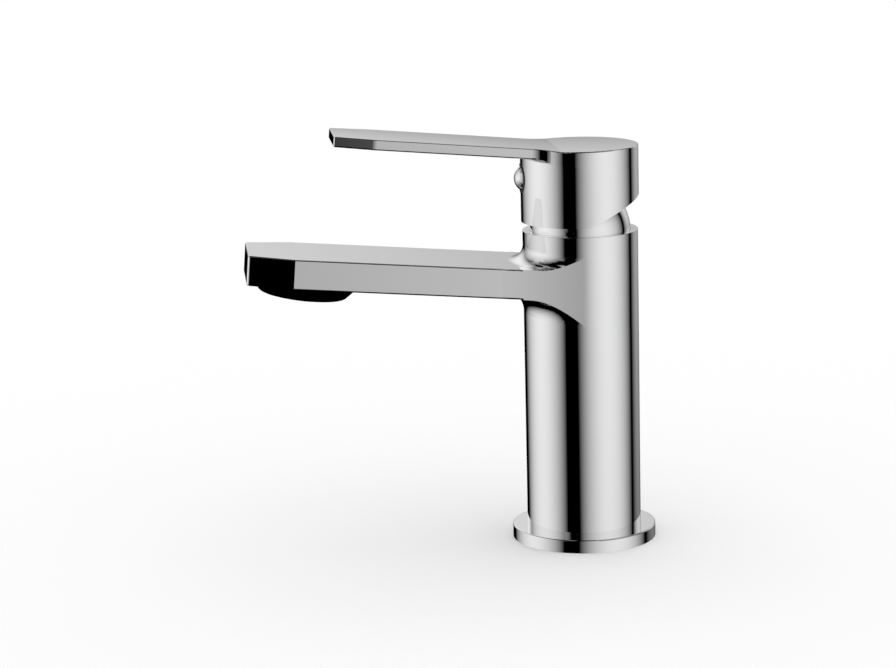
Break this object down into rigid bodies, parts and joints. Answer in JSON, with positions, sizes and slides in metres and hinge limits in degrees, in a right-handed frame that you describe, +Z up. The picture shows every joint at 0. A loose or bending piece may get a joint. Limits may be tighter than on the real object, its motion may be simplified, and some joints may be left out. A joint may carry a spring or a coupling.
{
  "type": "basin mixer faucet",
  "caption": "Single-lever basin mixer: round column on a foot ring, flat rising spout with an aerator, and a flat lever that lifts for flow and turns for temperature.",
  "frame": {"origin": "centre of the foot ring on the deck", "axes": "+Z up along the column, -Y towards the spout's tip, +X to the side that the picture shows"},
  "size_m": [0.0506, 0.1422, 0.147],
  "materials": {
    "polished_chrome": "mirror-polished chrome plating",
    "turned_brass": "turned brass",
    "steel": "ground stainless steel",
    "black_rubber": "smooth black rubber",
    "white_plastic": "moulded white plastic",
    "grey_plastic": "moulded grey plastic",
    "red_plastic": "moulded red plastic",
    "disc_ceramic": "lapped ceramic"
  },
  "bodies": {
    "column": {"base_ring": "polished_chrome", "base_seal": "black_rubber", "column_casting": "polished_chrome", "spout_casting": "polished_chrome", "inlet_block": "turned_brass", "aerator_washer": "black_rubber", "aerator_shell": "polished_chrome", "aerator_diffuser": "white_plastic", "aerator_grid": "grey_plastic", "cartridge_base": "white_plastic", "floor_seals": "black_rubber", "disc_seals": "black_rubber", "fixed_disc": "disc_ceramic", "cartridge_housing": "grey_plastic", "retaining_nut": "turned_brass", "dome_ring": "black_rubber", "dome_cover": "polished_chrome"},
    "rotor": {"rotor": "white_plastic", "pivot_pin": "steel", "stop_ring": "red_plastic"},
    "slider": {"disc_carrier": "white_plastic", "moving_disc": "disc_ceramic"},
    "lever": {"stem": "turned_brass", "lever_handle": "polished_chrome", "grub_screw": "steel", "index_plug": "polished_chrome", "plug_ring": "black_rubber"}
  },
  "joints": [
    {"name": "swivel", "type": "hinge", "parent": "column", "child": "rotor", "pos_m": [0, 0, 0.1096], "axis": [0, 0, 1], "range_deg": [-50, 50]},
    {"name": "lift", "type": "hinge", "parent": "rotor", "child": "lever", "pos_m": [0, 0, 0.1096], "axis": [-1, 0, 0], "range_deg": [0, 24]},
    {"name": "disc_slide", "type": "slide", "parent": "rotor", "child": "slider", "axis": [0, -1, 0], "range_m": [0, 0.005]}
  ],
  "couplings": [
    {"joint": "disc_slide", "follows": "lift", "m_per_rad": 0.011912}
  ]
}
